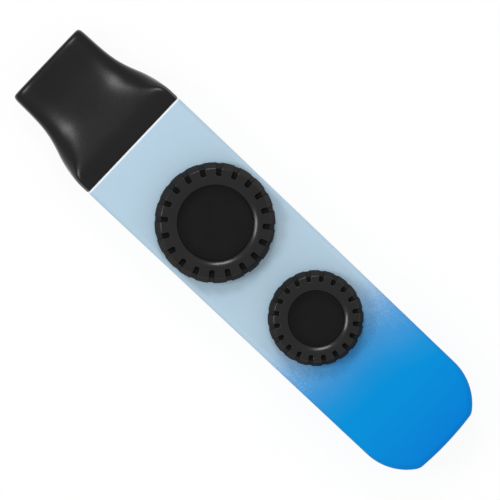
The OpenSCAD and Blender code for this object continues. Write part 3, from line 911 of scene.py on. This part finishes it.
def linear(red, green, blue):
    def one(value):
        value /= 255
        return value / 12.92 if value <= 0.04045 else ((value + 0.055) / 1.055) ** 2.4
    return (one(red), one(green), one(blue), 1.0)


print("stage: tools and sizes are ready")

mouthpiece = makeMouthpiece()
print("stage: mouthpiece,", len(mouthpiece.data.polygons), "faces")
upperShell = makeShell("upper_half", False)
print("stage: upper shell,", len(upperShell.data.polygons), "faces")
lowerShell = makeShell("lower_half", True)
print("stage: lower shell,", len(lowerShell.data.polygons), "faces")

turretPieces = {}
for which, size in sizes.items():
    seatZ, seatR = turrets["seat"], size["seat"] - turrets["seatPlay"]
    filmLow = seatZ + turrets["gasket"]
    filmHigh = filmLow + turrets["film"]
    turretPieces[which] = {
        "cap": makeCap(which + "_screw_cap", size),
        "neck": makeNeck(which + "_screw_neck", size),
        "gasket": washer(which + "_seal", size["x"], seatZ, filmLow,
                         size["hole"] - turrets["throatIn"], seatR, turrets["gasketSoftness"]),
        "membrane": makeFilm(which + "_film", size),
        "carrier": washer(which + "_film_carrier", size["x"], filmHigh,
                          filmHigh + turrets["carrier"], size["hole"] + turrets["holePlay"],
                          seatR, turrets["softness"]),
        "press_ring": makePressRing(which + "_press_collar", size),
    }
    faces = {kind: len(made.data.polygons) for kind, made in turretPieces[which].items()}
    print("stage:", which, "turret, faces:", faces)

# Finishes

spray = {
    "pale": (179, 204, 221),
    "edgeHighlight": (236, 242, 247),  # painted highlight: a near-white strip along the front edge, standing in for the rounded edge's sheen
    "edgeHighlightWidth": 0.52,
    "edgeHighlightSharpness": 5,  # how sharply the strip ends, and the same for a droplet below
    "deep": (0, 142, 214),
    "tail": (0, 127, 212),
    "tailStart": 44,
    "tailLength": 14,
    "fade": [(15, 0), (20, 0.12), (23.2, 0.33), (25.8, 0.52), (28.4, 0.69),
             (31, 0.79), (33.6, 0.87), (36.2, 0.92), (38.8, 0.97), (43, 1)],
    "leanAtStart": 0.1,
    "leanAtEnd": 0.19,
    "driftSize": 9,
    "drift": 2.4,
    "bulge": 1.4,  # how far the spray reaches forwards along the middle
    "bulgeSpread": 90,  # the square of the distance from the middle where the bulge ends
    "droplet": 0.14,
    "dropletShare": 0.24,
    "dropletGain": 1.3,
    "dropletLoss": 0.15,
    "dropletEdge": 4,
    "grainSize": 0.12,
    "grainShade": 0.06,
    "grainRoughness": 0.1,
    "grainHeight": 0.25,
    "mottleSize": 6,
    "mottleShade": 0.04,
    "mottleRoughness": 0.08,
    "orangePeel": 0.5,
    "orangePeelDepth": 0.006,
    "fineDetail": 3,
    "roughness": 0.46,
    "specular": 0.05,
}


def sprayedPaint(name):
    finish = Finish(bpy.data.materials.new(name))
    place = finish.place()
    x = finish.node("ShaderNodeSeparateXYZ", {}, {0: place}, "X")
    y = finish.node("ShaderNodeSeparateXYZ", {}, {0: place}, "Y")
    low, high = spray["fade"][0][0], spray["fade"][-1][0]
    onset = finish.clamp((x - low) / (high - low))
    lean = spray["leanAtStart"] + (spray["leanAtEnd"] - spray["leanAtStart"]) * onset
    drift = finish.vary(finish.noise(place, spray["driftSize"]), spray["drift"])
    bulge = finish.clamp(1 - y * y / spray["bulgeSpread"]) * spray["bulge"]
    along = x - y * lean + drift + bulge
    stops = [((at - low) / (high - low), (cover, cover, cover, 1)) for at, cover in spray["fade"]]
    cover = finish.node("ShaderNodeValToRGB", {"stops": stops}, {0: (along - low) / (high - low)})
    fleck = finish.node("ShaderNodeTexVoronoi", {"feature": "F1"},
                        {"Vector": place, "Scale": 1 / spray["droplet"]}, "Color")
    chance = finish.node("ShaderNodeSeparateXYZ", {}, {0: fleck}, "X")
    luck = cover * spray["dropletGain"] - spray["dropletLoss"] - chance
    dotted = finish.clamp(luck * spray["dropletEdge"] + 0.5)
    share = cover * (1 - spray["dropletShare"]) + dotted * spray["dropletShare"]
    toTail = finish.clamp((x - spray["tailStart"]) / spray["tailLength"])
    deep = finish.mix(toTail, linear(*spray["deep"]), linear(*spray["tail"]))
    colour = finish.mix(share, linear(*spray["pale"]), deep)
    # painted highlight along the front edge, where the rounded edge catches the lamps
    edgeHighlight = finish.clamp((spray["edgeHighlightWidth"] - x + jointX) * spray["edgeHighlightSharpness"])
    colour = finish.mix(edgeHighlight, colour, linear(*spray["edgeHighlight"]))
    grain = finish.noise(place, spray["grainSize"], spray["fineDetail"])
    mottle = finish.noise(place, spray["mottleSize"])
    value = (1 + finish.vary(grain, spray["grainShade"])
             + finish.vary(mottle, spray["mottleShade"]))
    colour = finish.node("ShaderNodeHueSaturation", {}, {"Color": colour, "Value": value})
    skin = finish.noise(place, spray["orangePeel"], spray["fineDetail"])
    return finish.close({
        "Base Color": colour,
        "Roughness": spray["roughness"] + finish.vary(mottle, spray["mottleRoughness"])
        + finish.vary(grain, spray["grainRoughness"]),
        "Normal": finish.bump(skin + grain * spray["grainHeight"], spray["orangePeelDepth"]),
        "Specular IOR Level": spray["specular"],
    })


mouldings = {"cloudShade": 1.5, "grainShade": 1.2, "cloudRoughness": 0.1, "grainRoughness": 0.12,
             "fineDetail": 3}


def moulding(name, look):
    finish = Finish(bpy.data.materials.new(name))
    place = finish.place()
    cloud = finish.noise(place, look["cloud"])
    grain = finish.noise(place, look["grain"], mouldings["fineDetail"])
    lightness = finish.clamp(finish.vary(cloud, mouldings["cloudShade"])
                             + finish.vary(grain, mouldings["grainShade"]) + 0.5)
    return finish.close({
        "Base Color": finish.mix(lightness, linear(*look["dark"]), linear(*look["light"])),
        "Roughness": look["roughness"] + finish.vary(cloud, mouldings["cloudRoughness"])
        + finish.vary(grain, mouldings["grainRoughness"]),
        "Normal": finish.bump(grain, look["depth"]),
        "Specular IOR Level": look["specular"],
    })


blackPlastics = {
    "mouthpiece": {"dark": (6, 6, 6), "light": (11, 11, 11), "cloud": 7, "grain": 0.22,
                   "depth": 0.005, "roughness": 0.27, "specular": 0.28},
    "cap": {"dark": (8, 8, 8), "light": (14, 13, 13), "cloud": 5, "grain": 0.18,
            "depth": 0.003, "roughness": 0.2, "specular": 0.38},
    "grip": {"dark": (34, 32, 31), "light": (41, 39, 38), "cloud": 4, "grain": 0.2,
             "depth": 0.008, "roughness": 0.7, "specular": 0.06},
    # painted shade: a darker copy of the black plastic, for the shade inside the notches
    "pit": {"dark": (18, 17, 16), "light": (26, 25, 24), "cloud": 4, "grain": 0.2,
            "depth": 0.008, "roughness": 0.7, "specular": 0.05},
    "inner": {"dark": (20, 20, 21), "light": (27, 27, 28), "cloud": 4, "grain": 0.15,
              "depth": 0.003, "roughness": 0.45, "specular": 0.3},
    "seal": {"dark": (125, 126, 126), "light": (139, 140, 140), "cloud": 3, "grain": 0.12,
             "depth": 0.004, "roughness": 0.75, "specular": 0.3},
    "film": {"dark": (10, 10, 10), "light": (15, 15, 16), "cloud": 3.5, "grain": 0.3,
             "depth": 0.003, "roughness": 0.3, "specular": 0.16},
}
paint = sprayedPaint("airbrushed_blue")
plastics = {key: moulding(key + "_finish", look) for key, look in blackPlastics.items()}


def dress(piece, materials, body, node):
    kept = [face.material_index for face in piece.data.polygons]
    piece.data.materials.clear()
    for material in materials:
        piece.data.materials.append(material)
    piece.data.polygons.foreach_set("material_index", kept)
    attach(piece, body)
    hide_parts(node)


dress(mouthpiece, [plastics["mouthpiece"]], "mouthpiece", "mouthpiece")
dress(upperShell, [paint], "body", "upper_shell")
dress(lowerShell, [paint], "body", "lower_shell")
kinds = {
    "cap": (["cap", "grip", "pit"], "cap_plastic"),
    "neck": (["inner"], "neck_plastic"),
    "gasket": (["seal"], "gasket_rubber"),
    "membrane": (["film"], "membrane_film"),
    "carrier": (["inner"], "carrier_plastic"),
    "press_ring": (["inner"], "press_ring_plastic"),
}
for which, made in turretPieces.items():
    for kind, (looks, slot) in kinds.items():
        body = which + "_" + kind if kind in ("cap", "press_ring") else "body"
        dress(made[kind], [plastics[look] for look in looks], body, which + "_" + kind)
print("stage: finishes are on")

# Floor, lamps and camera

studio = {
    "floorSize": 6.0,  # metres, like the lamps' distance and size and the camera's distance
    "floorGrey": 0.95,
    "floorWhite": 0.92,
    "worldGrey": 0.7,
    "lampDistance": 0.9,
    "lampRise": 55,
    "lampSpreads": {-1: 41, 1: 38},  # on the two sides of the mouthpiece
    "lampSize": (0.25, 0.2),
    "lampPower": 1.75,
    "cameraTurn": 43.41,
    "cameraLean": 2.2,
    "cameraDistance": 3.0,
    "sensorWidth": 36,
    "pictureWidth": 108.47,
    "middle": (0.0, 0.93, 12.5),
}

bpy.ops.object.select_all(action="DESELECT")
bpy.ops.mesh.primitive_plane_add(size=studio["floorSize"])
floor = bpy.context.active_object
floor.name = "studio_floor"
ground = Finish(bpy.data.materials.new("studio_white"))
rays = {way: ground.node("ShaderNodeLightPath", {}, {}, way)
        for way in ("Is Camera Ray", "Is Glossy Ray", "Is Transmission Ray")}
seen = ground.clamp(rays["Is Camera Ray"] + rays["Is Glossy Ray"] + rays["Is Transmission Ray"])
grey = (studio["floorGrey"], studio["floorGrey"], studio["floorGrey"], 1)
matt = ground.node("ShaderNodeBsdfDiffuse", {}, {"Color": grey})
glow = ground.node("ShaderNodeEmission", {}, {"Color": (1, 1, 1, 1), "Strength": 1.0})
blend = ground.node("ShaderNodeMixShader", {}, {0: seen * studio["floorWhite"], 1: matt, 2: glow})
ground.node("ShaderNodeOutputMaterial", {}, {"Surface": blend})
floor.data.materials.append(ground.owner)

room = Finish(bpy.data.worlds.new("soft_room"))
bpy.context.scene.world = room.owner
toCamera = room.node("ShaderNodeLightPath", {}, {}, "Is Camera Ray")
dim, white = (room.node("ShaderNodeBackground", {}, {"Color": (1, 1, 1, 1), "Strength": strength})
              for strength in (studio["worldGrey"], 1.0))
either = room.node("ShaderNodeMixShader", {}, {0: toCamera, 1: dim, 2: white})
room.node("ShaderNodeOutputWorld", {}, {"Surface": either})

for side, spread in studio["lampSpreads"].items():
    rise, spread = math.radians(studio["lampRise"]), math.radians(spread)
    towards = Vector((-math.cos(rise) * math.cos(spread),
                      side * math.cos(rise) * math.sin(spread), math.sin(rise)))
    bpy.ops.object.light_add(type="AREA", location=towards * studio["lampDistance"])
    lamp = bpy.context.active_object
    lamp.name = "softbox_" + ("left" if side < 0 else "right")
    lamp.data.shape = "RECTANGLE"
    lamp.data.size, lamp.data.size_y = studio["lampSize"]
    lamp.data.energy = studio["lampPower"]
    lamp.rotation_euler = towards.to_track_quat("Z", "Y").to_euler()

lean, turned = math.radians(studio["cameraLean"]), math.radians(studio["cameraTurn"])
outward = Vector((-math.sin(lean), 0, math.cos(lean)))
rightward = Vector((math.cos(turned), math.sin(turned), 0))
rightward = (rightward - outward * rightward.dot(outward)).normalized()
upward = outward.cross(rightward)
target = Vector(studio["middle"]) * mm
bpy.ops.object.camera_add(location=target + outward * studio["cameraDistance"])
camera = bpy.context.active_object
camera.rotation_mode = "QUATERNION"
camera.rotation_quaternion = Matrix((rightward, upward, outward)).transposed().to_quaternion()
camera.data.sensor_width = studio["sensorWidth"]
camera.data.lens = studio["sensorWidth"] * studio["cameraDistance"] / (studio["pictureWidth"] * mm)
bpy.context.scene.camera = camera
bpy.context.scene.view_settings.view_transform = "Standard"

print("stage: scene is set")
